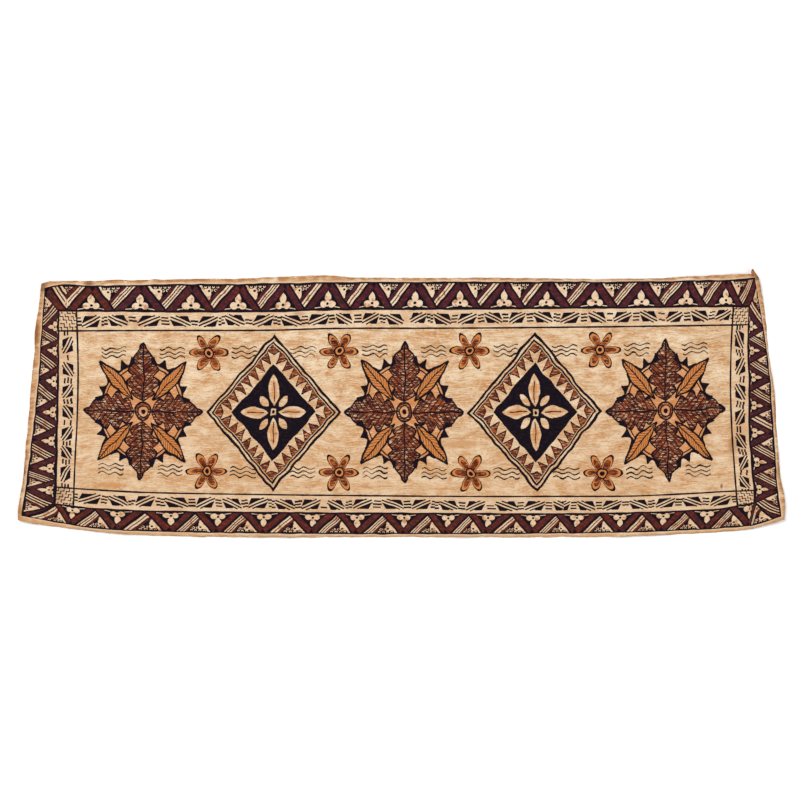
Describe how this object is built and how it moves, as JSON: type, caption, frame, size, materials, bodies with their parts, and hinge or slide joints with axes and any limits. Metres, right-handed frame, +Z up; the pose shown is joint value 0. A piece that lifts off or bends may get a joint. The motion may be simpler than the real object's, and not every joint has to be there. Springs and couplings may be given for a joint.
{
  "type": "tapa bark cloth",
  "caption": "Flat painted bark cloth panel, a beaten sheet wider at its lower edge, with soft cockles and a painted triangle border.",
  "frame": {"origin": "centre of the panel's outline, on the surface it lies on", "axes": "+X along the panel, +Y towards its narrower long edge, +Z up off the surface"},
  "size_m": [1.5004, 0.5254, 0.0129],
  "materials": {
    "bark_cloth": "beaten bark fibre, matte, painted with brown and black plant dye"
  },
  "bodies": {
    "root": {"tapa_cloth": "bark_cloth"}
  },
  "joints": []
}
